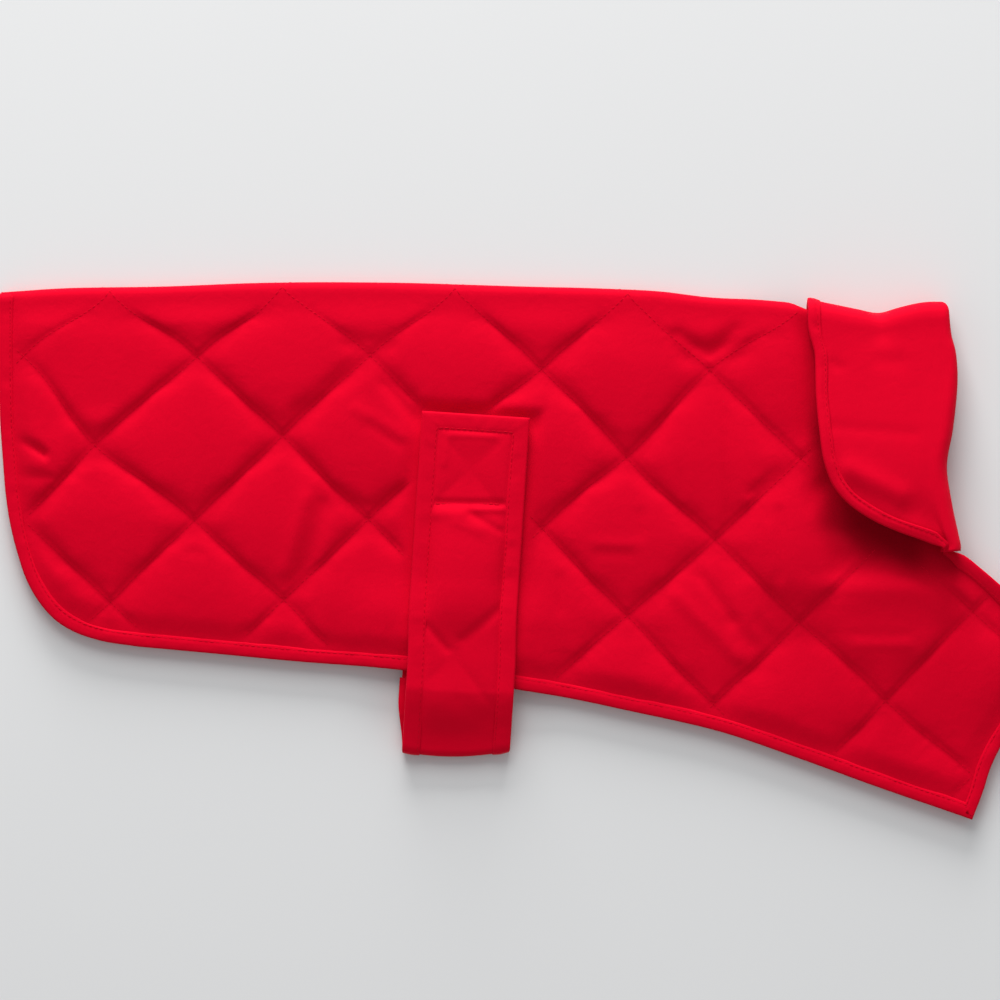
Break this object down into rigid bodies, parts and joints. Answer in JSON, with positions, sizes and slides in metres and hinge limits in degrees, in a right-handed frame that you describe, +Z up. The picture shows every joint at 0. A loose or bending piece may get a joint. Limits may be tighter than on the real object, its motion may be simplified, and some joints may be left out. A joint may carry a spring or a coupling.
{
  "type": "dog winter coat",
  "caption": "Quilted dog winter coat with a fold-over collar, bound edges and a belly strap, folded along its spine and laid flat on its side.",
  "frame": {"origin": "bottom centre of the laid coat's bounding box, on the surface it lies on", "axes": "+X from the tail toward the neck, +Y toward the spine fold, +Z up from the surface it lies on"},
  "size_m": [0.5476, 0.2844, 0.0277],
  "materials": {
    "quilted_shell": "red woven shell, satin",
    "binding_tape": "red woven tape, satin"
  },
  "bodies": {
    "root": {"body": "quilted_shell", "hem_binding": "binding_tape", "collar": "quilted_shell", "collar_binding": "binding_tape", "strap": "quilted_shell", "strap_binding": "binding_tape"}
  },
  "joints": []
}
